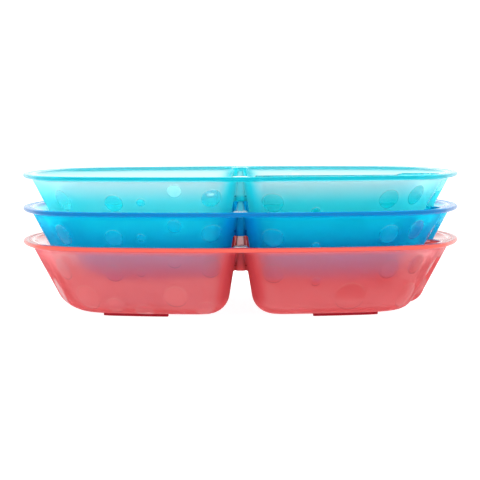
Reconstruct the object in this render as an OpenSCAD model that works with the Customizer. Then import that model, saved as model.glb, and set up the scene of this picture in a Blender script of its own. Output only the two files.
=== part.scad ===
// Three divided plates, nested in a stack.
// Each plate is one thin moulding with three compartments: a large one on the left
// and two on the right. The space between the compartments is an open channel
// underneath, and a ridge on top.
// Origin: the middle of the stack's lowest face. +Z is up, and -Y is the front.

/* [Plate] */
// Width of one plate across its rim, the same from front to back
plate_w = 190; // [165:1:240]
// Height of one plate, from the underside of its feet to the top of its rim
plate_h = 29.8; // [26:0.2:36]
// Wall thickness of the moulding
wall = 1.8; // [1.5:0.05:2.3]
// Radius of the four bowed sides of the rim, seen from above
side_r = 200; // [160:5:400]
// Radius of the four corners of the rim, seen from above
corner_r = 42; // [36:1:56]

/* [Rim] */
// How far the rim stands out past the wall, measured at the top
rim_out = 2.5; // [1.2:0.1:4]
// Thickness of the rim's rounded edge
rim_t = 1.9; // [1.5:0.1:3]
// Radius of the fillet between the rim and the wall
rim_fillet_r = 0.9; // [0.3:0.1:0.9]

/* [Walls] */
// Lean of the outer walls from the vertical, in degrees
wall_lean = 28.2; // [20:0.2:32]
// Lean of the divider walls from the vertical, in degrees
divider_lean = 9.2; // [7:0.2:12]
// Radius between the walls and the floor, on the outside
floor_r = 9; // [5:0.5:10]
// Radius of the compartments' upright corners, on the outside
upright_r = 12; // [11:0.5:15]

/* [Dividers] */
// Width of the channel between two compartments, at the level of the rim
channel_w = 2.5; // [2:0.1:6]
// How far the long ridge's top lies below the rim
ridge_drop = 8.7; // [3:0.1:10]
// How far the side ridge's top lies below the rim
side_ridge_drop = 1; // [0.4:0.1:2]
// How far in front of the plate's middle the side ridge lies
side_ridge_front = 34; // [10:1:40]

/* [Feet] */
// Height of the four low feet
foot_h = 1.2; // [0.8:0.1:2]
// Width of a foot
foot_w = 2; // [1.5:0.1:3]
// Distance from the edge of the flat floor in to a foot
foot_in = 1.2; // [0.8:0.1:3]
// Distance from the plate's middle plane to the near end of a foot
foot_end = 31; // [26:1:40]
// How far a foot runs on round the corner, in degrees
foot_bend = 20; // [8:1:28]

/* [Stack] */
// Gap between the divider walls of two nested plates
nest_gap = 0.48; // [0.3:0.02:0.6]

/* [Hidden] */

coral = [0.93, 0.42, 0.40, 0.75];
blue = [0.0, 0.60, 0.83, 0.75];
aqua = [0.25, 0.84, 0.90, 0.75];

corner_steps = 6;
side_steps = 8;
run_steps = 8;
upright_steps = 6;
fillet_steps = 5;
edge_steps = 4;
end_steps = 4;
bend_steps = 3;
overrun = 3;
// Largest share of an upright corner's radius that the floor's fillet takes up
upright_share = 0.8;
// Largest sine of the angle at which an upright corner may touch the plate's corner
fit_share = 0.9;

half_w = plate_w / 2;
// Two nested plates meet at their steepest walls, the dividers
pitch = (wall + nest_gap) / sin(divider_lean);

// The rim's outline is four large arcs joined by four small ones. The large arcs'
// centres lie side_set past the middle, and the small ones' at corner_c.
side_set = side_r - half_w;
between = side_r - corner_r;
corner_c = (sqrt(2 * pow(between, 2) - pow(side_set, 2)) - side_set) / 2;
side_turn = asin(corner_c / between);

LEFT = 0;
FRONT_RIGHT = 1;
BACK_RIGHT = 2;

// Points along an arc, without its last point unless ends is 1
function arc(centre, r, from, to, steps, ends = 0) =
    [for (k = [0 : steps - 1 + ends]) let (a = from + (to - from) * k / steps)
        centre + r * [cos(a), sin(a)]];

// One side's arc, drawn in by inset. turn is 0 for the right side, 90 for the back.
function side_arc(turn, inset, from, to, ends = 0) =
    arc(-side_set * [cos(turn), sin(turn)], side_r - inset, turn + from, turn + to, side_steps, ends);

// The corner between the side at turn and the next one
function corner_arc(turn, inset) =
    arc(corner_c * sqrt(2) * [cos(turn + 45), sin(turn + 45)], corner_r - inset,
        turn + side_turn, turn + 90 - side_turn, corner_steps);

// The whole plate's outline, drawn in by inset
function plate_ring(inset) =
    [for (turn = [0 : 90 : 270])
        each concat(side_arc(turn, inset, -side_turn, side_turn), corner_arc(turn, inset))];

// The outline from the start of the corner after turn to the angle to, which may lie
// on the corner or on the side after it
function corner_run(turn, inset, to) =
    [for (k = [0 : run_steps - 1])
        let (a = side_turn + (to - side_turn) * k / run_steps, aim = [cos(turn + a), sin(turn + a)])
        a <= 90 - side_turn
            ? corner_c * sqrt(2) * [cos(turn + 45), sin(turn + 45)] + (corner_r - inset) * aim
            : -side_set * [cos(turn + 90), sin(turn + 90)] + (side_r - inset) * aim];

// An upright corner of radius r lies between a divider face, reach from the line
// through the middle, and the outline drawn in by inset. It touches the outline at
// blend_angle, on the bowed side or, farther out, on the corner.
function side_blend(inset, reach, r) = asin((reach + r) / (side_r - inset - r));
function blend_angle(inset, reach, r) =
    let (u = side_blend(inset, reach, r))
    u <= side_turn ? u : asin((reach + r - corner_c) / (corner_r - inset - r));
function blend_dist(inset, reach, r) =
    side_blend(inset, reach, r) <= side_turn
        ? sqrt(pow(side_r - inset - r, 2) - pow(reach + r, 2)) - side_set
        : sqrt(pow(corner_r - inset - r, 2) - pow(reach + r - corner_c, 2)) + corner_c;

// The radius that still fits between the side ridge and the corner
function fitting_r(inset, reach, r) =
    min(r, (fit_share * (corner_r - inset) - (reach - corner_c)) / (1 + fit_share));

// The side ridge's two faces, as distances in front of the middle
function face_front(g) = side_ridge_front + g;
function face_back(g) = side_ridge_front - g;

// Outline of one compartment: inset from the rim, half-width g of the divider, upright radius r
function left_ring(inset, g, r) =
    let (t = blend_angle(inset, g, r), y = blend_dist(inset, g, r))
    concat(arc([-g - r, -y], r, 270 - t, 360, upright_steps, 1),
           arc([-g - r, y], r, 0, 90 + t, upright_steps),
           side_arc(90, inset, t, side_turn),
           corner_arc(90, inset),
           side_arc(180, inset, -side_turn, side_turn),
           corner_arc(180, inset),
           side_arc(270, inset, -side_turn, -t));

function front_right_ring(inset, g, r) =
    let (t = blend_angle(inset, g, r), y = blend_dist(inset, g, r),
         front = face_front(g), f = fitting_r(inset, front, r),
         u = blend_angle(inset, front, f), x = blend_dist(inset, front, f))
    concat(arc([g + r, -y], r, 180, 270 + t, upright_steps),
           side_arc(270, inset, t, side_turn),
           corner_run(270, inset, 90 - u),
           arc([x, -front - f], f, 360 - u, 450, upright_steps, 1),
           arc([g + r, -front - r], r, 90, 180, upright_steps, 1));

function back_right_ring(inset, g, r) =
    let (t = blend_angle(inset, g, r), y = blend_dist(inset, g, r),
         back = -face_back(g), u = blend_angle(inset, back, r), x = blend_dist(inset, back, r))
    concat(arc([g + r, back + r], r, 180, 270, upright_steps, 1),
           arc([x, back + r], r, -90, u, upright_steps),
           side_arc(0, inset, u, side_turn),
           corner_arc(0, inset),
           side_arc(90, inset, -side_turn, -t),
           arc([g + r, y], r, 90 - t, 180, upright_steps, 1));

function ring(place, inset, g, r) =
    place == LEFT ? left_ring(inset, g, r)
    : place == FRONT_RIGHT ? front_right_ring(inset, g, r)
    : back_right_ring(inset, g, r);

// Distance in to a wall that leans by lean, at height z above the floor. base is the
// distance at the floor if the wall had no fillet, and r is the fillet's radius.
function wall_at(z, base, lean, r) =
    base - z * tan(lean) + (z < r * (1 - sin(lean)) ? fillet_at(z, lean, r) : 0);
function fillet_at(z, lean, r) =
    r / cos(lean) - sqrt(r * r - pow(r - z, 2)) - (r - z) * tan(lean);

// Outer faces, from the underside of the floor
under_h = plate_h - foot_h;
outer_base = rim_out + under_h * tan(wall_lean);
divider_base = channel_w / 2 + under_h * tan(divider_lean);
floor_edge = wall_at(0, outer_base, wall_lean, floor_r);

// Heights at which a compartment's rings lie: up the fillet, up the walls to the top
function heights(r, top) =
    concat([for (k = [0 : fillet_steps]) r * (1 - cos((90 - divider_lean) * k / fillet_steps))], [top]);

// One compartment as a solid block. skin is how far its faces lie inside the outer ones.
function block_rings(place, skin, top) =
    let (r = floor_r - skin,
         out = outer_base + skin / cos(wall_lean) - skin * tan(wall_lean),
         div = divider_base + skin / cos(divider_lean) - skin * tan(divider_lean))
    [for (z = heights(r, top))
        let (draw = z < r * (1 - sin(divider_lean)) ? fillet_at(z, divider_lean, r) : 0,
             upright = upright_r - skin - min(draw, (upright_r - skin) * upright_share))
        [for (p = ring(place, wall_at(z, out, wall_lean, r), wall_at(z, div, divider_lean, r), upright))
            [p.x, p.y, foot_h + skin + z]]];

// A closed solid through rings that have as many points each, from the lowest up
module loft(rings) {
    n = len(rings[0]);
    last = len(rings) - 1;
    sides = [for (k = [0 : last - 1], j = [0 : n - 1])
        let (a = k * n + j, b = k * n + (j + 1) % n)
        each [[a, a + n, b], [b, a + n, b + n]]];
    polyhedron(points = [for (ring = rings) each ring],
               faces = concat([[for (j = [0 : n - 1]) j]], sides,
                              [[for (j = [n - 1 : -1 : 0]) last * n + j]]),
               convexity = 4);
}

// Heights of the ridges' tops and of the channel's roofs under them
ridge_z = plate_h - ridge_drop;
roof_z = ridge_z - wall;
side_ridge_z = plate_h - side_ridge_drop;
side_roof_z = side_ridge_z - wall;

// Inset of the outer wall and half-width of the channel at height z
function wall_inset(z) = wall_at(z - foot_h, outer_base, wall_lean, floor_r);
function channel_half(z) = wall_at(z - foot_h, divider_base, divider_lean, floor_r);

// Blocks reach half way into the walls beside them
block_half = channel_half(roof_z) + wall / 2;
saddle_half = channel_half(ridge_z) + (wall + nest_gap) / cos(divider_lean);
// Where the channels meet, the block fills the space between the upright corners
junction_half = channel_half(roof_z) + upright_r * 3 / 4;
// The channel's end walls stand behind the upright corners, by a quarter of the wall
end_back = wall / 4;
end_y = blend_dist(wall_inset(roof_z), channel_half(roof_z), upright_r) - end_back;
end_x = blend_dist(wall_inset(roof_z), face_front(channel_half(roof_z)), upright_r) - end_back;

// The rim, and the wall's root under it, across the whole plate. Its lowest ring lies
// inside the wall, so that the fillet's faces cross the wall's at a clear angle.
module rim() {
    root_z = plate_h - rim_t - rim_fillet_r;
    root_in = wall_inset(root_z);
    edge_r = rim_t / 2;
    loft(concat(
        [[for (p = plate_ring(root_in + wall / 2)) [p.x, p.y, root_z]]],
        [for (k = [edge_steps / 2 : edge_steps]) let (a = 90 * k / edge_steps)
            [for (p = plate_ring(root_in - rim_fillet_r * (1 - cos(a))))
                [p.x, p.y, root_z + rim_fillet_r * sin(a)]]],
        [for (k = [0 : 2 * edge_steps]) let (a = 90 * (k / edge_steps - 1))
            [for (p = plate_ring(edge_r * (1 - cos(a))))
                [p.x, p.y, plate_h + edge_r * (sin(a) - 1)]]]));
}

// A bar along Y whose ends lean like the dividers. end is half its length at height low.
module leaning_bar(half, end, low, high) {
    lean = (high - low) * tan(divider_lean);
    rotate([90, 0, 90])
        linear_extrude(2 * half, center = true)
            polygon([[-end, low], [end, low], [end + lean, high], [-end - lean, high]]);
}

// Solid between the compartments: under the long ridge, under the side ridge, and
// behind the long ridge where the side channel stops
module ridge_blocks() {
    leaning_bar(block_half, end_y, roof_z, plate_h - rim_t / 2);
    translate([0, -side_ridge_front - block_half, side_roof_z])
        cube([end_x, 2 * block_half, side_ridge_drop + wall - rim_t / 2]);
    translate([0, -side_ridge_front - junction_half, roof_z])
        cube([saddle_half + wall, 2 * junction_half, plate_h - rim_t / 2 - roof_z]);
}

// The space above the two ridges
module saddles() {
    leaning_bar(saddle_half, end_y - wall / cos(divider_lean) + wall * tan(divider_lean),
                ridge_z, plate_h + overrun);
    translate([0, -side_ridge_front - saddle_half, side_ridge_z])
        cube([end_x, 2 * saddle_half, side_ridge_drop + overrun]);
}

// The line of a foot: along the front of the floor's edge and some way round the corner
function foot_line(inset, from) =
    concat(side_arc(270, inset, from, side_turn),
           arc(corner_c * [1, -1], corner_r - inset,
               270 + side_turn, 270 + side_turn + foot_bend, bend_steps, 1));

// One foot, with a round end at both ends of its line
module foot() {
    inset = floor_edge + foot_in;
    from = asin(foot_end / (side_r - inset));
    outer = foot_line(inset, from);
    inner = foot_line(inset + foot_w, from);
    last = len(outer) - 1;
    near = 270 + from;
    far = 270 + side_turn + foot_bend;
    linear_extrude(foot_h + wall / 2)
        polygon(concat([for (k = [0 : last - 1]) outer[k]],
                       arc((outer[last] + inner[last]) / 2, foot_w / 2, far, far + 180, end_steps),
                       [for (k = [last : -1 : 1]) inner[k]],
                       arc((outer[0] + inner[0]) / 2, foot_w / 2, near + 180, near + 360, end_steps)));
}

module feet() {
    for (x = [0, 1], y = [0, 1])
        mirror([x, 0, 0]) mirror([0, y, 0]) foot();
}

module plate() {
    difference() {
        union() {
            rim();
            for (place = [LEFT, FRONT_RIGHT, BACK_RIGHT])
                loft(block_rings(place, 0, under_h - rim_t / 2));
            ridge_blocks();
            feet();
        }
        for (place = [LEFT, FRONT_RIGHT, BACK_RIGHT])
            loft(block_rings(place, wall, under_h - wall + overrun));
        saddles();
    }
}

module bottom_plate() { color(coral) plate(); }
module middle_plate() { color(blue) translate([0, 0, pitch]) plate(); }
module top_plate() { color(aqua) translate([0, 0, 2 * pitch]) plate(); }

bottom_plate();
middle_plate();
top_plate();
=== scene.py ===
"""Three divided plates in frosted plastic, nested in a stack.

Each plate replaces its CAD node. Its outline, walls and ridges follow the same sizes as
the solid, and it adds the bead round the rim, the rounded edges, the fillets, the raised
clear dots in the frosted wall and the plastic itself.
"""
import math

import bmesh
import bpy
from bpy.props import FloatProperty, FloatVectorProperty, PointerProperty
from bpy.types import Operator, Panel, PropertyGroup
from mathutils import Matrix, Vector
from mathutils.bvhtree import BVHTree


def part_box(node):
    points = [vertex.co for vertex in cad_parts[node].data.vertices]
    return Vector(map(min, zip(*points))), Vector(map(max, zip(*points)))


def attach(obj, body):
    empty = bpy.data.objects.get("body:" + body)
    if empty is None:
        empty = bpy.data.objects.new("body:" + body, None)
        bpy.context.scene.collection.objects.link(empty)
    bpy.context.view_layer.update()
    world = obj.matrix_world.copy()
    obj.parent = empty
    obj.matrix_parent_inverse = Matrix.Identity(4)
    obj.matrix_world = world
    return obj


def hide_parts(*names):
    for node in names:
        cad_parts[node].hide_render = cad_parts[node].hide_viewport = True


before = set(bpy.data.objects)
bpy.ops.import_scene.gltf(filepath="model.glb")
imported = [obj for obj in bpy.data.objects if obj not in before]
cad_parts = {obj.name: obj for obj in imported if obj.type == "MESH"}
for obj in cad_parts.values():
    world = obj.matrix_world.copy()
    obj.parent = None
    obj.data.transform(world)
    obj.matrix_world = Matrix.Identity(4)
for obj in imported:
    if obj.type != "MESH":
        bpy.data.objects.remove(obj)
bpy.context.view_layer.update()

bl_info = {
    "name": "Divided Plate Stack",
    "version": (1, 0, 0),
    "blender": (4, 5, 0),
    "location": "3D View > Sidebar > Plates",
    "description": "Builds three nested compartment plates in frosted plastic",
    "category": "Add Mesh",
}

MM = 0.001
WHITE = (1, 1, 1, 1)
NODES = ("bottom_plate", "middle_plate", "top_plate")
BODIES = ("bottom", "middle", "top")
SLOTS = ("coral_plastic", "blue_plastic", "aqua_plastic")
PLASTICS = ("coral", "blue", "aqua")
LEFT, FRONT_RIGHT, BACK_RIGHT = range(3)


def length(name, description, millimetres):
    """A size that is shown in the scene's unit."""
    return FloatProperty(name=name, description=description, default=millimetres * MM,
                         min=0.0, precision=5, unit="LENGTH")


def angle(name, description, degrees):
    return FloatProperty(name=name, description=description, default=math.radians(degrees),
                         unit="ROTATION", subtype="ANGLE")


def colour(name, description, value):
    return FloatVectorProperty(name=name, description=description, default=value,
                               size=3, min=0.0, max=1.0, subtype="COLOR")


def share(name, description, value):
    return FloatProperty(name=name, description=description, default=value, min=0.0, max=1.0,
                         subtype="FACTOR")


def number(name, description, value):
    return FloatProperty(name=name, description=description, default=value, min=0.0)


class PlateSizes(PropertyGroup):
    """The sizes of one plate, as in the solid model."""
    width: length("Width", "Width of the plate across its rim", 190)
    height: length("Height", "From the underside of the feet to the top of the rim", 29.8)
    wall: length("Wall", "Thickness of the moulding", 1.8)
    side_r: length("Side radius", "Radius of the bowed sides of the rim", 200)
    corner_r: length("Corner radius", "Radius of the corners of the rim", 42)
    rim_out: length("Rim reach", "How far the rim stands out past the wall", 2.5)
    rim_t: length("Rim thickness", "Thickness of the rim's rounded edge", 1.9)
    rim_fillet: length("Rim fillet", "Radius between the rim and the wall", 0.9)
    bead: length("Bead", "Width of the raised bead round the rim", 2.6)
    crease: length("Crease", "Depth of the crease inside the bead", 0.34)
    ledge_drop: length("Ledge drop", "How far the ledge lies below the bead", 0.2)
    edge_r: length("Edge", "Radius of the rounded edge over the compartments", 0.7)
    wall_lean: angle("Wall lean", "Lean of the outer walls", 28.2)
    divider_lean: angle("Divider lean", "Lean of the divider walls", 9.2)
    floor_r: length("Floor radius", "Radius between the walls and the floor", 9)
    upright_r: length("Upright radius", "Radius of the upright corners", 12)
    channel_w: length("Channel", "Width of the channel at the level of the rim", 2.5)
    ridge_drop: length("Ridge drop", "How far the long ridge lies below the rim", 8.7)
    side_ridge_drop: length("Side ridge drop", "How far the side ridge lies below the rim", 1)
    side_ridge_front: length("Side ridge place", "How far in front of the middle it lies", 34)
    nest_gap: length("Nest gap", "Gap between the divider walls of nested plates", 0.48)
    foot_h: length("Foot height", "Height of the four feet", 1.2)
    foot_w: length("Foot width", "Width of a foot", 2)
    foot_in: length("Foot inset", "From the edge of the floor in to a foot", 1.2)
    foot_end: length("Foot end", "From the middle to the near end of a foot", 31)
    foot_bend: angle("Foot bend", "How far a foot runs on round the corner", 20)
    dot_rise: length("Dot height", "How far the clear dots stand proud", 0.15)
    spacing: length("Spacing", "Distance between the mesh's columns", 1.3)


class PlateColours(PropertyGroup):
    """The plastic of the three plates."""
    coral_wall: colour("Coral wall", "Colour of the bottom plate's walls", (0.8, 0.095, 0.105))
    # Painted light: the paler tops of the walls
    coral_top: colour("Coral wall top", "Paler colour at the top of its walls", (1.0, 0.22, 0.24))
    coral_rim: colour("Coral rim", "Colour of the rim's edge and the ridges' tops", (0.95, 0.16, 0.12))
    # Partly the long path through thick plastic and partly painted shade at the feet and corners, and
    # painted shade on the dots' lower edges
    coral_depth_and_shade: colour("Coral depth", "Colour of the feet and of the corners' depth", (0.42, 0.005, 0.02))
    # Painted highlight on the dots' upper edges
    coral_painted_highlight: colour("Coral glint", "Colour of the dots' upper edges", (0.8, 0.2, 0.18))
    coral_clear: colour("Coral clear", "Colour of the light that passes the plastic", (0.97, 0.45, 0.45))
    coral_milk: share("Coral milk", "Share of the light that one frosted wall scatters", 0.5)
    coral_dot_milk: share("Coral dots", "Share of the light that the clear dots scatter", 0.5)
    coral_dot_blur: share("Coral dot blur", "Blur of what is seen through the dots", 0.35)
    coral_density: number("Coral density", "How much a metre of the plastic absorbs", 150.0)
    blue_wall: colour("Blue wall", "Colour of the middle plate's walls", (0.0, 0.45, 1.0))
    # Painted light: the paler tops of the walls
    blue_top: colour("Blue wall top", "Paler colour at the top of its walls", (0.0, 0.58, 1.0))
    blue_rim: colour("Blue rim", "Colour of the rim's edge and the ridges' tops", (0.0, 0.21, 0.53))
    # Partly the long path through thick plastic and partly painted shade at the feet and corners, and
    # painted shade on the dots' lower edges
    blue_depth_and_shade: colour("Blue depth", "Colour of the feet and of the corners' depth", (0.0, 0.24, 0.8))
    # Painted highlight on the dots' upper edges
    blue_painted_highlight: colour("Blue glint", "Colour of the dots' upper edges", (0.15, 0.7, 0.95))
    blue_clear: colour("Blue clear", "Colour of the light that passes the plastic", (0.0, 0.99, 0.998))
    blue_milk: share("Blue milk", "Share of the light that one frosted wall scatters", 0.42)
    blue_dot_milk: share("Blue dots", "Share of the light that the clear dots scatter", 0.45)
    blue_dot_blur: share("Blue dot blur", "Blur of what is seen through the dots", 0.15)
    blue_density: number("Blue density", "How much a metre of the plastic absorbs", 1200.0)
    aqua_wall: colour("Aqua wall", "Colour of the top plate's walls", (0.0, 0.9, 0.96))
    # Painted light: the paler tops of the walls
    aqua_top: colour("Aqua wall top", "Paler colour at the top of its walls", (0.74, 0.87, 0.89))
    aqua_rim: colour("Aqua rim", "Colour of the rim's edge and the ridges' tops", (0.0, 0.5, 0.62))
    # Partly the long path through thick plastic and partly painted shade at the feet and corners, and
    # painted shade on the dots' lower edges
    aqua_depth_and_shade: colour("Aqua depth", "Colour of the feet and of the corners' depth", (0.0, 0.7, 0.82))
    # Painted highlight on the dots' upper edges
    aqua_painted_highlight: colour("Aqua glint", "Colour of the dots' upper edges", (0.8, 1.0, 1.0))
    aqua_clear: colour("Aqua clear", "Colour of the light that passes the plastic", (0.0, 0.99, 1.0))
    aqua_milk: share("Aqua milk", "Share of the light that one frosted wall scatters", 0.46)
    aqua_dot_milk: share("Aqua dots", "Share of the light that the clear dots scatter", 0.25)
    aqua_dot_blur: share("Aqua dot blur", "Blur of what is seen through the dots", 0.07)
    aqua_density: number("Aqua density", "How much a metre of the plastic absorbs", 150.0)


class StageLook(PropertyGroup):
    """The camera, the room and the table."""
    lens: FloatProperty(name="Lens", description="Focal length of the camera", default=169.9,
                        min=10.0, unit="CAMERA")
    distance: length("Distance", "From the camera to the middle of the stack", 1000)
    eye: length("Eye height", "Height of the camera above the table", 84.1)
    left: length("Offset", "How far left of the middle the camera stands", 0.2)
    tilt: angle("Tilt", "How far the camera looks down", 3.22186)
    roll: angle("Roll", "How far the camera is turned about its own axis", -0.244)
    room: number("Room", "Brightness of the white room", 1.4)
    table_size: length("Table", "Width of the table", 6000)
    table_colour: colour("Table colour", "Colour of the table", (0.3, 0.3, 0.3))
    table_rough: share("Table roughness", "Roughness of the table", 0.7)
    table_light: number("Table light", "Light that the pale table gives off", 0.95)


class Node:
    """Makes a material's nodes and wraps their sockets, so that shader maths is plain."""

    def __init__(self, tree, socket=None):
        self.tree, self.socket = tree, socket

    def make(self, kind, settings=None, out=0, **inputs):
        node = self.tree.nodes.new(kind)
        for name, value in (settings or {}).items():
            setattr(node, name, value)
        for name, value in inputs.items():
            key = int(name[1:]) if name[1:].isdigit() else name.replace("_", " ")
            self.join(node.inputs[key], value)
        return Node(self.tree, node.outputs[out])

    def join(self, target, value):
        if isinstance(value, Node):
            self.tree.links.new(value.socket, target)
        else:
            target.default_value = value

    def maths(self, operation, a, b=0.0, c=0.0):
        return self.make("ShaderNodeMath", {"operation": operation}, i0=a, i1=b, i2=c)

    def __add__(self, other):
        return self.maths("ADD", self, other)

    def __sub__(self, other):
        return self.maths("SUBTRACT", self, other)

    def __mul__(self, other):
        return self.maths("MULTIPLY", self, other)

    def __rsub__(self, other):
        return self.maths("SUBTRACT", other, self)

    __radd__ = __add__
    __rmul__ = __mul__

    def step(self, low, high, to_low=0.0, to_high=1.0):
        """A smooth ramp from to_low at low to to_high at high."""
        return self.make("ShaderNodeMapRange", {"interpolation_type": "SMOOTHSTEP"},
                         i0=self, i1=low, i2=high, i3=to_low, i4=to_high)


# How far the steps of the sheet between the compartments are eased
STEP_EASE = 0.4 * MM
# The side ridge's outer end: how far its top runs down before and after the end of its channel
END_BEFORE, END_AFTER = 0.5 * MM, 1.5 * MM
# The largest share of an upright corner's radius that the floor's fillet takes
UPRIGHT_LOSS = 0.8


class Shape:
    """The plate's outlines and walls at any height, in metres."""

    def __init__(self, s):
        self.s = s
        self.side_set = s.side_r - s.width / 2
        between = s.side_r - s.corner_r
        self.corner_c = (math.sqrt(2 * between ** 2 - self.side_set ** 2) - self.side_set) / 2
        self.side_turn = math.asin(self.corner_c / between)
        self.under_h = s.height - s.foot_h
        self.out_base = s.rim_out + self.under_h * math.tan(s.wall_lean)
        self.div_base = s.channel_w / 2 + self.under_h * math.tan(s.divider_lean)
        self.ridge_z = s.height - s.ridge_drop
        self.side_ridge_z = s.height - s.side_ridge_drop
        self.ledge_z = s.height - s.ledge_drop
        self.under_z = s.height - s.rim_t
        roof = self.ridge_z - s.wall
        inset, half = self.offsets(0, roof)[:2]
        back = s.wall / 4
        self.end_y = self.blend(inset, half, s.upright_r)[1] - back
        self.end_x = self.blend(inset, s.side_ridge_front + half, s.upright_r)[1] - back
        self.saddle_half = (self.offsets(0, self.ridge_z)[1]
                            + (s.wall + s.nest_gap) / math.cos(s.divider_lean))

    def blend(self, inset, reach, r):
        """Where an upright corner of radius r touches the outline: its angle, and the
        distance of its middle from the plate's middle plane."""
        s = self.s
        turn = math.asin((reach + r) / (s.side_r - inset - r))
        if turn <= self.side_turn:
            return turn, math.sqrt((s.side_r - inset - r) ** 2 - (reach + r) ** 2) - self.side_set
        far = s.corner_r - inset - r
        past = reach + r - self.corner_c
        return math.asin(past / far), math.sqrt(far ** 2 - past ** 2) + self.corner_c

    def outline(self, turn, inset):
        """The point of the outline whose outward direction is turn."""
        side = round(turn / (math.pi / 2)) * math.pi / 2
        aim = Vector((math.cos(turn), math.sin(turn)))
        if abs(turn - side) <= self.side_turn:
            return (self.s.side_r - inset) * aim - self.side_set * Vector((math.cos(side), math.sin(side)))
        middle = (math.floor(turn / (math.pi / 2)) + 0.5) * math.pi / 2
        return ((self.s.corner_r - inset) * aim
                + self.corner_c * math.sqrt(2) * Vector((math.cos(middle), math.sin(middle))))

    def inset_of(self, x, y):
        """How far a point lies inside the outline."""
        s = self.s
        x, y = abs(x), abs(y)
        if math.atan2(y, x + self.side_set) <= self.side_turn:
            return s.side_r - math.hypot(x + self.side_set, y)
        if math.atan2(x, y + self.side_set) <= self.side_turn:
            return s.side_r - math.hypot(x, y + self.side_set)
        return s.corner_r - math.hypot(x - self.corner_c, y - self.corner_c)

    def straight(self, base, z, lean, r):
        """Distance in to a wall at height z above its floor, with the floor's fillet."""
        draw = r / math.cos(lean) - math.sqrt(max(r * r - (r - z) ** 2, 0)) - (r - z) * math.tan(lean)
        return base - z * math.tan(lean) + (draw if z < r * (1 - math.sin(lean)) else 0)

    def offsets(self, skin, z, top=None, edge=0.0):
        """Inset, half-width of the divider and upright radius at height z. Below the height
        top the walls turn out into a level face, with radius edge."""
        s = self.s
        r = s.floor_r - skin
        up = z - s.foot_h - skin
        found = []
        for base, lean in ((self.out_base, s.wall_lean), (self.div_base, s.divider_lean)):
            base += skin / math.cos(lean) - skin * math.tan(lean)
            here = self.straight(base, up, lean, r)
            if top is not None and z > top - edge * (1 - math.sin(lean)):
                middle = (self.straight(base, top - s.foot_h - skin, lean, r)
                          - edge * math.tan((math.pi / 2 - lean) / 2))
                sine = min(1 - (top - z) / edge, 1)
                turned = middle + edge * math.sqrt(1 - sine * sine)
                bulge = here - turned
                here = turned
            else:
                bulge = 0
            found.append(here)
        draw = 0
        if up < r * (1 - math.sin(s.divider_lean)):
            draw = self.straight(0, up, s.divider_lean, r) + up * math.tan(s.divider_lean)
        upright = s.upright_r - skin
        return found[0], found[1], upright - min(draw, upright * UPRIGHT_LOSS) + bulge

    def top_deck(self, x, y):
        """Height of the rim's ledge and the ridges' tops, seen from above."""
        s = self.s
        if x < -2 * self.saddle_half:
            return self.ledge_z
        web = s.wall * (1 - math.sin(s.divider_lean)) / math.cos(s.divider_lean)
        lean = (s.height - self.ridge_z) * math.tan(s.divider_lean)
        side = ease(x, self.saddle_half, self.saddle_half + lean + STEP_EASE)
        past = ease(x, self.end_x - END_BEFORE, self.end_x + END_AFTER)
        near = ease(abs(y), self.end_y - web, self.end_y - web + lean + STEP_EASE)
        flank = self.side_ridge_z + (self.ledge_z - self.side_ridge_z) * past
        low = self.ridge_z + (flank - self.ridge_z) * side
        return low + (self.ledge_z - low) * near

    def under_deck(self, x, y):
        """Height of the rim's underside and the channels' roofs."""
        s = self.s
        if x < -2 * self.saddle_half:
            return self.under_z
        roof, side_roof = self.ridge_z - s.wall, self.side_ridge_z - s.wall
        lean = (self.under_z - roof) * math.tan(s.divider_lean)
        side = ease(x, self.saddle_half + s.wall, self.saddle_half + s.wall + lean)
        past = ease(x, self.end_x, self.end_x + lean)
        near = ease(abs(y), self.end_y, self.end_y + lean + STEP_EASE)
        flank = side_roof + (self.under_z - side_roof) * past
        low = roof + (flank - roof) * side
        return low + (self.under_z - low) * near


def ease(x, low, high):
    """A smooth ramp from 0 at low to 1 at high."""
    t = min(max((x - low) / (high - low), 0), 1)
    return t * t * (3 - 2 * t)


# Steps by which a compartment's outline is measured, fewest columns in one of its parts, and
# rows of a skin from the floor up: the floor's fillet, the wall and the rounded edge
PATH_STEPS, LEAST_COLUMNS = 24, 4
FLOOR_ROWS, WALL_ROWS, EDGE_ROWS = 9, 17, 5
# How often the height of a column's top is found anew, as it moves the top sideways
TOP_TRIES = 3


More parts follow.
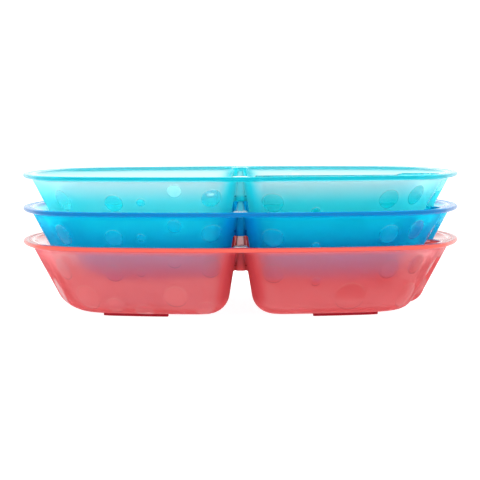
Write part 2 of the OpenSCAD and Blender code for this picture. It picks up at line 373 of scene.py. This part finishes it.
def compartment_columns(shape, place):
    """One function for each column round a compartment, from offsets to a point. The offsets
    o are the inset, the divider's half-width and the upright radius. Turns run from +X."""
    s = shape.s
    north, west, south, full = (k * math.pi / 2 for k in (1, 2, 3, 4))
    east, side_turn, front = 0, shape.side_turn, s.side_ridge_front

    def turn_at(turn, o):
        return turn(o) if callable(turn) else turn

    def swing(middle, a, b):
        """Round an upright corner."""
        def point(o, t):
            turn = turn_at(a, o) + (turn_at(b, o) - turn_at(a, o)) * t
            return Vector(middle(o)) + o[2] * Vector((math.cos(turn), math.sin(turn)))
        return point

    def run(a, b):
        """Along the plate's outline."""
        return lambda o, t: shape.outline(turn_at(a, o) + (turn_at(b, o) - turn_at(a, o)) * t, o[0])

    def line(a, b):
        """Along a divider."""
        return lambda o, t: Vector(a(o)).lerp(Vector(b(o)), t)

    def long_end(o):
        return shape.blend(o[0], o[1], o[2])

    def side_end(o):
        return shape.blend(o[0], front + o[1], o[2])

    def back_end(o):
        reach = -(front - o[1])
        turn = math.asin((reach + o[2]) / (s.side_r - o[0] - o[2]))
        return turn, math.sqrt((s.side_r - o[0] - o[2]) ** 2 - (reach + o[2]) ** 2) - shape.side_set

    if place == LEFT:
        parts = [
            swing(lambda o: (-o[1] - o[2], -long_end(o)[1]), lambda o: south - long_end(o)[0], full),
            line(lambda o: (-o[1], -long_end(o)[1]), lambda o: (-o[1], long_end(o)[1])),
            swing(lambda o: (-o[1] - o[2], long_end(o)[1]), east, lambda o: north + long_end(o)[0]),
            run(lambda o: north + long_end(o)[0], north + side_turn),
            run(north + side_turn, west - side_turn),
            run(west - side_turn, west + side_turn),
            run(west + side_turn, south - side_turn),
            run(south - side_turn, lambda o: south - long_end(o)[0])]
    elif place == FRONT_RIGHT:
        parts = [
            swing(lambda o: (o[1] + o[2], -long_end(o)[1]), west, lambda o: south + long_end(o)[0]),
            run(lambda o: south + long_end(o)[0], south + side_turn),
            run(south + side_turn, lambda o: full - side_end(o)[0]),
            swing(lambda o: (side_end(o)[1], -front - o[1] - o[2]), lambda o: full - side_end(o)[0],
                  full + north),
            line(lambda o: (side_end(o)[1], -front - o[1]), lambda o: (o[1] + o[2], -front - o[1])),
            swing(lambda o: (o[1] + o[2], -front - o[1] - o[2]), north, west),
            line(lambda o: (o[1], -front - o[1] - o[2]), lambda o: (o[1], -long_end(o)[1]))]
    else:
        parts = [
            swing(lambda o: (o[1] + o[2], -front + o[1] + o[2]), west, south),
            line(lambda o: (o[1] + o[2], -front + o[1]), lambda o: (back_end(o)[1], -front + o[1])),
            swing(lambda o: (back_end(o)[1], -front + o[1] + o[2]), -north, lambda o: back_end(o)[0]),
            run(lambda o: back_end(o)[0], side_turn),
            run(side_turn, north - side_turn),
            run(north - side_turn, lambda o: north - long_end(o)[0]),
            swing(lambda o: (o[1] + o[2], long_end(o)[1]), lambda o: north - long_end(o)[0], west),
            line(lambda o: (o[1], long_end(o)[1]), lambda o: (o[1], -front + o[1] + o[2]))]
    level = shape.offsets(0, shape.under_z)
    columns = []
    for part in parts:
        points = [part(level, k / PATH_STEPS) for k in range(PATH_STEPS + 1)]
        size = sum((b - a).length for a, b in zip(points, points[1:]))
        count = max(round(size / s.spacing), LEAST_COLUMNS)
        columns += [(lambda o, part=part, t=k / count: part(o, t)) for k in range(count)]
    return columns


def ring_of(bm, count, layer):
    """A loop of loose edges, whose vertices know their place in it."""
    made = bmesh.ops.create_circle(bm, cap_ends=False, segments=count, radius=1.0)["verts"]
    for k, vert in enumerate(made):
        vert[layer] = k
    return made


def ring_edges(ring):
    """The edges that run round a ring, in an order that is the same each run, unlike a set's."""
    members = set(ring)
    near = dict.fromkeys(e for v in ring for e in v.link_edges)
    return [e for e in near if set(e.verts) <= members]


def next_ring(bm, ring, layer):
    """Extrudes a ring's edges and gives the new ring in the same order."""
    made = bmesh.ops.extrude_edge_only(bm, edges=ring_edges(ring))["geom"]
    new = [g for g in made if isinstance(g, bmesh.types.BMVert)]
    return sorted(new, key=lambda v: v[layer])


def fill_between(bm, rings):
    """Fills the level space that the rings bound, and gives its faces."""
    edges = [e for ring in rings for e in ring_edges(ring)]
    made = bmesh.ops.triangle_fill(bm, use_beauty=True, use_dissolve=False, edges=edges,
                                   normal=(0, 0, 1))["geom"]
    return [g for g in made if isinstance(g, bmesh.types.BMFace)]


# A foot flares out into the floor by FLARE, through FLARE_MID, and its lower edge is rounded
FLARE, FLARE_MID, FOOT_EDGE = 0.25 * MM, 0.07 * MM, 0.3 * MM
FOOT_STEPS, END_STEPS, EDGE_STEPS = 40, 8, 3


def foot_points(shape, grow, mirror_x, mirror_y):
    """A foot's outline, grown all round by grow."""
    s = shape.s
    inset = shape.offsets(0, s.foot_h)[0] + s.foot_in
    middle, half = inset + s.foot_w / 2, s.foot_w / 2 + grow
    start = 1.5 * math.pi + math.asin(s.foot_end / (s.side_r - inset))
    stop = 1.5 * math.pi + shape.side_turn + s.foot_bend
    turns = [start + (stop - start) * k / FOOT_STEPS for k in range(FOOT_STEPS + 1)]

    def end(at, first):
        aims = [first + math.pi * k / END_STEPS for k in range(1, END_STEPS)]
        return [shape.outline(at, middle) + half * Vector((math.cos(a), math.sin(a))) for a in aims]

    points = [shape.outline(t, middle - half) for t in turns] + end(stop, stop)
    points += [shape.outline(t, middle + half) for t in reversed(turns)] + end(start, start + math.pi)
    return [Vector((p.x * mirror_x, p.y * mirror_y)) for p in points]


def add_foot(bm, shape, layer, mirror_x, mirror_y):
    """Grows a foot out of the floor's underside and gives its root ring."""
    s = shape.s
    root = foot_points(shape, FLARE, mirror_x, mirror_y)
    ring = first = ring_of(bm, len(root), layer)
    rows = [(FLARE, s.foot_h), (FLARE_MID, s.foot_h - FLARE_MID), (0, s.foot_h - FLARE)]
    turns = [math.pi / 2 * k / EDGE_STEPS for k in range(EDGE_STEPS + 1)]
    rows += [(FOOT_EDGE * (math.cos(a) - 1), FOOT_EDGE * (1 - math.sin(a))) for a in turns]
    for k, (grow, z) in enumerate(rows):
        if k:
            ring = next_ring(bm, ring, layer)
        for vert, p in zip(ring, foot_points(shape, grow, mirror_x, mirror_y)):
            vert.co = (p.x, p.y, z)
    fill_between(bm, [ring])
    return first


def add_skin(bm, shape, layer, skin):
    """One side of the three compartments, with the feet on the underside, and gives the rings
    round their tops. skin is 0 for the underside and the wall's thickness for the food's side."""
    s = shape.s
    deck = shape.top_deck if skin else shape.under_deck
    edge = s.edge_r if skin else s.rim_fillet
    floor_r = s.floor_r - skin
    turned = math.pi / 2 - s.divider_lean
    rims = []
    for place in (LEFT, FRONT_RIGHT, BACK_RIGHT):
        columns = compartment_columns(shape, place)
        tops = []
        for column in columns:
            top = shape.ledge_z if skin else shape.under_z
            for _ in range(TOP_TRIES):
                p = column(shape.offsets(skin, top, top, edge))
                top = deck(p.x, p.y)
            tops.append(top)
        levels = [[] for _ in range(FLOOR_ROWS + WALL_ROWS + EDGE_ROWS + 1)]
        base = s.foot_h + skin
        for top in tops:
            low = base + floor_r * (1 - math.cos(turned))
            high = top - edge * (1 - math.sin(s.divider_lean))
            zs = [base + floor_r * (1 - math.cos(turned * k / FLOOR_ROWS)) for k in range(FLOOR_ROWS)]
            zs += [low + (high - low) * k / WALL_ROWS for k in range(WALL_ROWS)]
            zs += [top - edge * (1 - math.sin(s.divider_lean + turned * k / EDGE_ROWS))
                   for k in range(EDGE_ROWS + 1)]
            for row, z in zip(levels, zs):
                row.append(z)
        ring = first = ring_of(bm, len(columns), layer)
        for k, zs in enumerate(levels):
            if k:
                ring = next_ring(bm, ring, layer)
            for vert, column, z, top in zip(ring, columns, zs, tops):
                p = column(shape.offsets(skin, z, top, edge))
                vert.co = (p.x, p.y, z)
        feet = []
        if not skin:
            feet = {LEFT: [(-1, 1), (-1, -1)], FRONT_RIGHT: [(1, 1)], BACK_RIGHT: [(1, -1)]}[place]
        fill_between(bm, [first] + [add_foot(bm, shape, layer, *foot) for foot in feet])
        rims.append(ring)
    return rims


# The bead's section, in millimetres: how far out from its inner edge, and how far down, in its
# last three points from the rim's top and in the others from the ledge
BEAD_FOOT = ((-0.28, 0), (-0.12, 0.05))
BEAD_SIDE = (0.12, 0.02)
BEAD_TOP = ((0.35, 0.13), (0.7, 0.04), (1.1, 0))
RIM_STEPS, RIM_SPACING = 10, 1.5
# How far the rim's underside reaches under the wall's fillet
UNDER_REACH = 0.45 * MM


def rim_columns(shape):
    """The outward directions of the rim's columns, which lie wider apart than the walls'."""
    turns = []
    for side in range(4):
        for low, high, r in ((-shape.side_turn, shape.side_turn, shape.s.side_r),
                             (shape.side_turn, math.pi / 2 - shape.side_turn, shape.s.corner_r)):
            count = round((high - low) * r / (RIM_SPACING * shape.s.spacing))
            turns += [side * math.pi / 2 + low + (high - low) * k / count for k in range(count)]
    return turns


def add_flange(bm, shape, layer):
    """Adds the rim's bead and rounded edge, and gives its upper and lower inner rings."""
    s = shape.s
    half = s.rim_t / 2
    top, ledge = s.height, s.height - s.ledge_drop
    rows = [(s.bead - out * MM, ledge - down * MM) for out, down in BEAD_FOOT]
    rows += [(s.bead, top - s.crease), (s.bead - BEAD_SIDE[0] * MM, ledge - BEAD_SIDE[1] * MM)]
    rows += [(s.bead - out * MM, top - down * MM) for out, down in BEAD_TOP]
    rows += [(half * (1 - math.sin(a)), top - half + half * math.cos(a))
             for a in [math.pi * k / RIM_STEPS for k in range(RIM_STEPS + 1)]]
    rows += [(s.rim_out - UNDER_REACH, top - s.rim_t)]
    turns = rim_columns(shape)
    ring = first = ring_of(bm, len(turns), layer)
    for k, (inset, z) in enumerate(rows):
        if k:
            ring = next_ring(bm, ring, layer)
        for vert, turn in zip(ring, turns):
            p = shape.outline(turn, inset)
            vert.co = (p.x, p.y, z)
    return first, ring


# A vertex this near a cut counts as on it
CUT_NEAR = 0.001 * MM


def add_deck(bm, rings, height, cuts):
    """The sheet between the rings. It is filled flat, cut where its height changes, and
    then lifted to its height."""
    for ring in rings:
        for vert in ring:
            vert.co.z = 0
    faces = fill_between(bm, rings)
    for point, normal in cuts:
        verts = dict.fromkeys(v for f in faces for v in f.verts)
        edges = dict.fromkeys(e for f in faces for e in f.edges)
        made = bmesh.ops.bisect_plane(bm, geom=[*verts, *edges, *faces], dist=CUT_NEAR,
                                      plane_co=point, plane_no=normal)["geom"]
        faces = [g for g in made if isinstance(g, bmesh.types.BMFace)]
    for vert in {v for f in faces for v in f.verts}:
        vert.co.z = height(vert.co.x, vert.co.y)


# The run over which the sheet is cut where it steps up, the same past the side ridge's outer
# end, and the number of strips
CUT_RUN, END_CUT_RUN, CUT_STRIPS = 1.43 * MM, 2 * MM, 5


def deck_cuts(low_x, end_x, end_y):
    """Planes across the sheet where it steps up."""
    shares = [k / CUT_STRIPS for k in range(CUT_STRIPS + 1)]
    cuts = [((0, side * (end_y + CUT_RUN * t), 0), (0, 1, 0)) for side in (-1, 1) for t in shares]
    cuts += [((low_x + CUT_RUN * t, 0, 0), (1, 0, 0)) for t in shares]
    cuts += [((end_x + END_CUT_RUN * t, 0, 0), (1, 0, 0)) for t in shares]
    return cuts


# Raised clear dots on the front wall, in millimetres: distance from the middle, depth
# below the rim, radius. The other three walls have the same dots turned by quarters.
DOTS = ((-73, 10, 4.8), (-51.5, 10.8, 3.9), (-40.4, 10.5, 1.9), (-26.7, 5.7, 3.0), (-11.6, 8.7, 4.2),
        (13, 10.8, 4.5), (30.5, 14.4, 2.0), (60.6, 9.7, 4.4), (72.2, 8.3, 4.5), (-26.4, 20.6, 4.9),
        (-39.4, 27, 4), (-14.6, 26, 4), (-51.6, 25, 4), (-63.0, 21.6, 5.8), (44.7, 21, 6.5))
# Where the rays to the wall start, the nearest that they may meet it, and the dots' least gap
RAY_FROM, RAY_LEAST, DOT_GAP = 0.3, 0.05, 1.5 * MM
# Distances to a dot's edge, in millimetres, that stand for no dot near: frosted and clear plastic
FROSTED, POLISHED = 6.0, -20.0
# Half the width of a dot's sloping edge, in millimetres, and the most that the side layer holds
DOT_SLOPE, SIDE_MOST = 0.5, 2.0


def dot_places(bm, height):
    """Centres and radii of the dots, found where a level ray meets the wall."""
    tree = BVHTree.FromBMesh(bm)
    found = []
    for quarter in range(4):
        turn = Matrix.Rotation(quarter * math.pi / 2, 3, "Z")
        for across, depth, r in DOTS:
            start = turn @ Vector((across * MM, -RAY_FROM, height - depth * MM))
            point = tree.ray_cast(start, turn @ Vector((0, 1, 0)))[0]
            if point is None or (turn.transposed() @ point).y > -RAY_LEAST:
                continue
            if all((point - other).length > r * MM + gap + DOT_GAP for other, gap in found):
                found.append((point, r * MM))
    return found


def raise_dots(bm, shape, layer, side, walls):
    """Lifts the dots off the wall. Writes each vertex's distance to a dot's edge, and the side
    of the dot that it lies on: 1 at its upper edge, -1 at its lower edge."""
    s = shape.s
    bm.normal_update()
    dots = dot_places(bm, s.height)
    moves = []
    for vert in walls:
        gap, up = min(((vert.co - point).length - r, (vert.co.z - point.z) / r) for point, r in dots)
        gap /= MM
        vert[layer] = min(gap, FROSTED)
        vert[side] = max(min(up, SIDE_MOST), -SIDE_MOST)
        moves.append((vert, vert.normal * (s.dot_rise * (1 - ease(gap, -DOT_SLOPE, DOT_SLOPE)))))
    for vert, move in moves:
        vert.co += move


# How much plastic the light meets, where one wall counts as 1: at the rim's edge and the ridges'
# tops, on the rim, on the ledge, at the corners, which are mostly seen along the divider walls
# and whose extra depth is partly painted shade, at the feet, at the channels' ends, under the rim
# and low on the wall, where the extra depth is painted shade that darkens the wall towards the bottom
RIM_DEPTH, FLANGE_DEPTH, LEDGE_DEPTH, CORNER_DEPTH_AND_SHADE, FOOT_DEPTH, WEB_DEPTH = 7.0, 2.6, 2.5, 4.0, 3.5, 2.4
UNDER_RIM_DEPTH, LOW_SHADE_DEPTH = 2.0, 0.7
# Where a corner's depth and painted shade come in and go out again, off the outline, and come in off the
# floor
CORNER_IN, CORNER_OUT, CORNER_UP = (0.2 * MM, 6 * MM), (14 * MM, 26 * MM), 8 * MM
# The rim's shade reaches this far down the wall, and the wall is clear for this much below its top
RIM_SHADE, CLEAR_TOP = 1.3 * MM, 3 * MM
# Shares of the plate's height between which the painted shade low on the wall ends and the painted light
# at the wall's top begins
LOW_SHADE_SHARES, PAINTED_LIGHT_SHARES = (0.5, 0.85), (0.6, 0.95)
# How level a face is to count as flat, and shares of the rim's colour and of the colour of depth and
# painted shade
LEVEL, RIM_ROUND, UNDER_RIM_TINT, CORNER_SHADE_TINT = 0.8, (0.55, 1.0), 0.5, 0.4
# A ridge's top lies at least this far below the ledge, and the sheet's high part this near the rim
CREST_DROP, NEAR_RIM = 0.3 * MM, 0.1 * MM
# A vertex this far below the floor's underside is on a foot
HAIR = 0.01 * MM


class Layers:
    """The mesh's layers: a vertex's place in its ring, and what the plastic reads. dot is the
    distance to a dot's edge, side the side of the dot, which places the painted highlight and shade
    on its edges, depth the amount of plastic, with painted shade added at the corners and low on the
    wall, part 1 at the rim and -1 at the feet, whose colour is partly painted shade, and pale 1 where
    the painted light at the top of the wall is strongest."""

    def __init__(self, bm):
        self.place = bm.verts.layers.int.new("place")
        self.dot, self.depth, self.part, self.side, self.pale = (
            bm.verts.layers.float.new(name) for name in ("dot", "depth", "part", "side", "pale"))


def tone_wall(vert, shape, layers):
    """What the plastic reads on the underside and the outer walls."""
    s, z = shape.s, vert.co.z
    off = shape.inset_of(vert.co.x, vert.co.y) - shape.offsets(0, z, shape.under_z, s.rim_fillet)[0]
    # The corners get more depth and the colour of depth and painted shade: partly the long path along the
    # divider walls, partly painted shade
    corner = ease(off, *CORNER_IN) * (1 - ease(off, *CORNER_OUT)) * ease(z, s.foot_h, s.foot_h + CORNER_UP)
    high = ease(z, shape.under_z - RIM_SHADE, shape.under_z)
    # Painted shade: extra depth that darkens the wall towards the bottom
    low = LOW_SHADE_DEPTH * (1 - ease(z / s.height, *LOW_SHADE_SHARES))
    vert[layers.dot] = FROSTED if z < s.height - CLEAR_TOP else POLISHED
    vert[layers.part] = UNDER_RIM_TINT * high - CORNER_SHADE_TINT * corner * (1 - high)
    vert[layers.depth] = 1.0 + max(UNDER_RIM_DEPTH * high, (CORNER_DEPTH_AND_SHADE - 1) * corner, low)
    # Painted light: the wall is paler towards its top
    vert[layers.pale] = ease(z / s.height, *PAINTED_LIGHT_SHARES) * (1 - corner)
    # The feet take the colour of depth and painted shade: the long path through the solid foot, and
    # painted shade where it meets the table
    if z < s.foot_h - HAIR:
        vert[layers.part], vert[layers.depth] = -1.0, FOOT_DEPTH


def plate_mesh(s):
    """One plate, closed, with the layers that the plastic reads."""
    shape = Shape(s)
    bm = bmesh.new()
    layers = Layers(bm)
    under = add_skin(bm, shape, layers.place, 0)
    outside = set(bm.verts)
    top = add_skin(bm, shape, layers.place, s.wall)
    within = set(bm.verts) - outside
    edges = {v for ring in top for v in ring}
    upper, lower = add_flange(bm, shape, layers.place)
    flange = set(bm.verts) - outside - within
    web = s.wall * (1 - math.sin(s.divider_lean)) / math.cos(s.divider_lean)
    add_deck(bm, [upper] + top, shape.top_deck,
             deck_cuts(shape.saddle_half, shape.end_x - END_BEFORE, shape.end_y - web))
    above = set(bm.verts)
    add_deck(bm, [lower] + under, shape.under_deck,
             deck_cuts(shape.saddle_half + s.wall, shape.end_x, shape.end_y))
    bmesh.ops.recalc_face_normals(bm, faces=bm.faces)
    open_edges = sum(not e.is_manifold for e in bm.edges)
    if open_edges:
        raise RuntimeError(f"the plate has {open_edges} open edges")
    bm.normal_update()
    for vert in bm.verts:
        z, level = vert.co.z, abs(vert.normal.z)
        sheet = vert not in outside and vert not in within and vert not in flange
        vert[layers.dot] = POLISHED
        if z < shape.ledge_z - CREST_DROP and (vert in edges or sheet and vert.normal.z > LEVEL):
            vert[layers.depth], vert[layers.part] = RIM_DEPTH, 1.0
        elif vert in flange:
            outward = 1 - ease(level, *RIM_ROUND)
            vert[layers.part] = outward
            vert[layers.depth] = FLANGE_DEPTH + (RIM_DEPTH - FLANGE_DEPTH) * outward
        elif vert in within:
            vert[layers.depth] = 0.0
        elif vert in outside:
            tone_wall(vert, shape, layers)
        elif level > LEVEL:
            vert[layers.depth] = LEDGE_DEPTH if z > shape.under_z - NEAR_RIM else RIM_DEPTH
        elif vert in above:
            vert[layers.depth] = 0.0
        else:
            vert[layers.dot], vert[layers.depth] = FROSTED, WEB_DEPTH
    walls = [v for v in outside if v.is_valid and s.foot_h < v.co.z < shape.under_z]
    raise_dots(bm, shape, layers.dot, layers.side, walls)
    mesh = bpy.data.meshes.new("plate")
    bm.to_mesh(mesh)
    bm.free()
    mesh.shade_smooth()
    return mesh


# The plastic's two finishes: the shine's roughness, the blur of what shows through, and the
# strength of the bending and of the shine. A low index keeps thin walls from mirroring.
MATT = {"rough": 0.5, "blur": 0.9, "index": 1.12, "shine": 0.02}
CLEAR = {"rough": 0.12, "index": 1.2, "shine": 0.15}
CLEAR_BLUR, PLASTIC_IOR = 0.07, 1.49
# The share of the scattered light that comes out on the other side
THROUGH = 0.3
GRAIN_SCALE, GRAIN_DETAIL, GRAIN_STRENGTH, GRAIN_HEIGHT = 900.0, 2.0, 0.2, 0.2 * MM
# Distances to a dot's edge, in millimetres: where the frost begins, the band of painted highlight
# and painted shade in and out, and the clear plastic that isn't a dot. The band's strength is EDGE_SHARE.
FROST_EDGE, BAND_IN, BAND_OUT, NO_DOT = (-0.15, 0.15), (-0.5, -0.15), (0.1, 0.35), (-16.0, -10.0)
EDGE_SHARE = 0.6
# The sides of a dot over which the band is painted as a highlight and as shade
LIT_SIDE, SHADED_SIDE = (0.1, 1.0), (-1.0, -0.1)


def plastic(slot, kind, colours):
    """Milky plastic. A share of it scatters a colour, to both sides, and the rest is
    clear. The colour is the dye's, with painted light at the tops of the walls, the colour of depth
    and painted shade at the feet and corners, and a painted highlight and painted shade on the dots'
    edges. The share grows with the plastic's depth. The outer wall is frosted but for its dots."""
    def own(name):
        return getattr(colours, f"{kind}_{name}")

    wall, top, rim_edge, depth_and_shade, painted_highlight, passing = (
        (*own(name), 1.0) for name in ("wall", "top", "rim", "depth_and_shade", "painted_highlight", "clear"))
    material = bpy.data.materials.new(slot)
    material.use_nodes = True
    tree = material.node_tree
    tree.nodes.clear()
    n = Node(tree)

    def read(attribute):
        return n.make("ShaderNodeAttribute", {"attribute_name": attribute}, out=2)

    def mix(factor, a, b):
        return n.make("ShaderNodeMix", {"data_type": "RGBA"}, out=2, i0=factor, i6=a, i7=b)

    def mix_shaders(factor, a, b):
        return n.make("ShaderNodeMixShader", i0=factor, i1=a, i2=b)

    def glow(value):
        return n.make("ShaderNodeBsdfTranslucent", Color=value, Normal=bump)

    gap, depth, part, side = read("dot"), read("depth"), read("part"), read("side")
    frost = gap.step(*FROST_EDGE)
    where = n.make("ShaderNodeTexCoord", out=3)
    grain = n.make("ShaderNodeTexNoise", Vector=where, Scale=GRAIN_SCALE, Detail=GRAIN_DETAIL)
    bump = n.make("ShaderNodeBump", Strength=GRAIN_STRENGTH, Distance=GRAIN_HEIGHT, Height=grain * frost)
    band = gap.step(*BAND_IN) * gap.step(*BAND_OUT, 1.0, 0.0)
    # Painted light at the tops of the walls, the rim's colour, the colour of depth and painted shade, and
    # the painted highlight and painted shade on the dots' upper and lower edges
    coats = ((read("pale"), top),
             (part.step(0.0, 1.0), rim_edge),
             (part.step(-1.0, 0.0, 1.0, 0.0), depth_and_shade),
             # Painted highlight on the dots' upper edges, and painted shade on their lower edges
             (band * side.step(*LIT_SIDE) * EDGE_SHARE, painted_highlight),
             (band * side.step(*SHADED_SIDE, 1.0, 0.0) * EDGE_SHARE, depth_and_shade))
    tint, through = wall, glow(wall)
    for factor, value in coats:
        tint, through = mix(factor, tint, value), mix_shaders(factor, through, glow(value))

    def finish(milk, rough, blur, index, shine):
        glass = n.make("ShaderNodeBsdfPrincipled", Base_Color=WHITE, Roughness=blur,
                       IOR=index, Transmission_Weight=1.0, Normal=bump)
        back = n.make("ShaderNodeBsdfPrincipled", Base_Color=tint, Roughness=rough,
                      IOR=PLASTIC_IOR, Specular_IOR_Level=shine, Normal=bump)
        passed = n.maths("POWER", 1.0 - milk, depth)
        return mix_shaders(1.0 - passed, glass, mix_shaders(THROUGH, back, through))

    dot_blur = CLEAR_BLUR + gap.step(*NO_DOT) * (own("dot_blur") - CLEAR_BLUR)
    body = mix_shaders(frost, finish(own("dot_milk"), blur=dot_blur, **CLEAR), finish(own("milk"), **MATT))
    inside = n.make("ShaderNodeVolumeAbsorption", Color=passing, Density=own("density"))
    out = tree.nodes.new("ShaderNodeOutputMaterial")
    tree.links.new(body.socket, out.inputs["Surface"])
    tree.links.new(inside.socket, out.inputs["Volume"])
    return material


class PLATES_OT_add_plates(Operator):
    """Builds the three plates and nests them"""
    bl_idname = "plates.add_plates"
    bl_label = "Add Plates"

    def execute(self, context):
        mesh = plate_mesh(context.scene.plate_sizes)
        for node, body, slot, kind in zip(NODES, BODIES, SLOTS, PLASTICS):
            own = mesh.copy()
            own.name = node
            own.transform(Matrix.Translation((0, 0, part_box(node)[0].z)))
            plate = bpy.data.objects.new(node.replace("_plate", "_dish"), own)
            context.collection.objects.link(plate)
            own.materials.append(plastic(slot, kind, context.scene.plate_colours))
            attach(plate, body)
            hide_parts(node)
        bpy.data.meshes.remove(mesh)
        return {"FINISHED"}


class PLATES_OT_add_stage(Operator):
    """Adds the camera, the white surroundings and the pale table"""
    bl_idname = "plates.add_stage"
    bl_label = "Add Stage"

    def execute(self, context):
        look = context.scene.plate_stage
        data = bpy.data.cameras.new("camera")
        data.lens = look.lens
        camera = bpy.data.objects.new("camera", data)
        context.collection.objects.link(camera)
        camera.matrix_world = (Matrix.Translation((-look.left, -look.distance, look.eye))
                               @ Matrix.Rotation(math.pi / 2 - look.tilt, 4, "X")
                               @ Matrix.Rotation(look.roll, 4, "Z"))
        context.scene.camera = camera

        bm = bmesh.new()
        bmesh.ops.create_grid(bm, x_segments=1, y_segments=1, size=look.table_size / 2)
        mesh = bpy.data.meshes.new("table")
        bm.to_mesh(mesh)
        bm.free()
        table = bpy.data.objects.new("table", mesh)
        context.collection.objects.link(table)
        material = bpy.data.materials.new("table")
        material.use_nodes = True
        shader = material.node_tree.nodes["Principled BSDF"]
        shader.inputs["Base Color"].default_value = (*look.table_colour, 1)
        shader.inputs["Roughness"].default_value = look.table_rough
        shader.inputs["Emission Color"].default_value = WHITE
        shader.inputs["Emission Strength"].default_value = look.table_light
        mesh.materials.append(material)

        world = bpy.data.worlds.new("room")
        world.use_nodes = True
        back = world.node_tree.nodes["Background"]
        back.inputs["Color"].default_value = WHITE
        back.inputs["Strength"].default_value = look.room
        context.scene.world = world
        context.scene.view_settings.view_transform = "Standard"
        return {"FINISHED"}


class PLATES_PT_sidebar(Panel):
    """Lists the pieces and their sizes"""
    bl_label = "Plates"
    bl_idname = "PLATES_PT_sidebar"
    bl_space_type = "VIEW_3D"
    bl_region_type = "UI"
    bl_category = "Plates"

    def draw(self, context):
        layout = self.layout
        layout.operator(PLATES_OT_add_plates.bl_idname)
        layout.operator(PLATES_OT_add_stage.bl_idname)
        for group in (context.scene.plate_sizes, context.scene.plate_colours, context.scene.plate_stage):
            box = layout.box()
            for name in group.bl_rna.properties.keys():
                if name not in ("rna_type", "name"):
                    box.prop(group, name)


CLASSES = (PlateSizes, PlateColours, StageLook, PLATES_OT_add_plates, PLATES_OT_add_stage,
           PLATES_PT_sidebar)


def register():
    for cls in CLASSES:
        bpy.utils.register_class(cls)
    bpy.types.Scene.plate_sizes = PointerProperty(type=PlateSizes)
    bpy.types.Scene.plate_colours = PointerProperty(type=PlateColours)
    bpy.types.Scene.plate_stage = PointerProperty(type=StageLook)


def unregister():
    del bpy.types.Scene.plate_stage
    del bpy.types.Scene.plate_colours
    del bpy.types.Scene.plate_sizes
    for cls in reversed(CLASSES):
        bpy.utils.unregister_class(cls)


def main():
    register()
    bpy.ops.plates.add_stage()
    bpy.ops.plates.add_plates()


if __name__ == "__main__":
    main()
